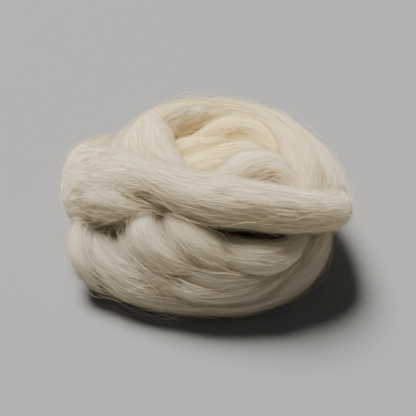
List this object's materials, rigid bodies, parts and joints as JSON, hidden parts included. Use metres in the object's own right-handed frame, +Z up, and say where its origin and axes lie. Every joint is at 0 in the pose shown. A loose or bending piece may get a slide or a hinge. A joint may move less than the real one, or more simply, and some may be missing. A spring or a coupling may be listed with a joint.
{
  "type": "wool roving",
  "caption": "Loose low ball of undyed cream combed wool roving, one thick soft untwisted rope of fibre wound over itself, for spinning, felting and display.",
  "frame": {"origin": "on the surface the ball rests on, under the middle of its bounding box", "axes": "+Z up from the resting surface, the front band of the ball towards -Y, the ball's longest way along X"},
  "size_m": [0.1608, 0.1296, 0.0751],
  "materials": {
    "wool": "undyed cream combed wool, long parallel fibres with a soft silky sheen and a fine loose halo"
  },
  "bodies": {
    "root": {"roving_ball": "wool"}
  },
  "joints": []
}
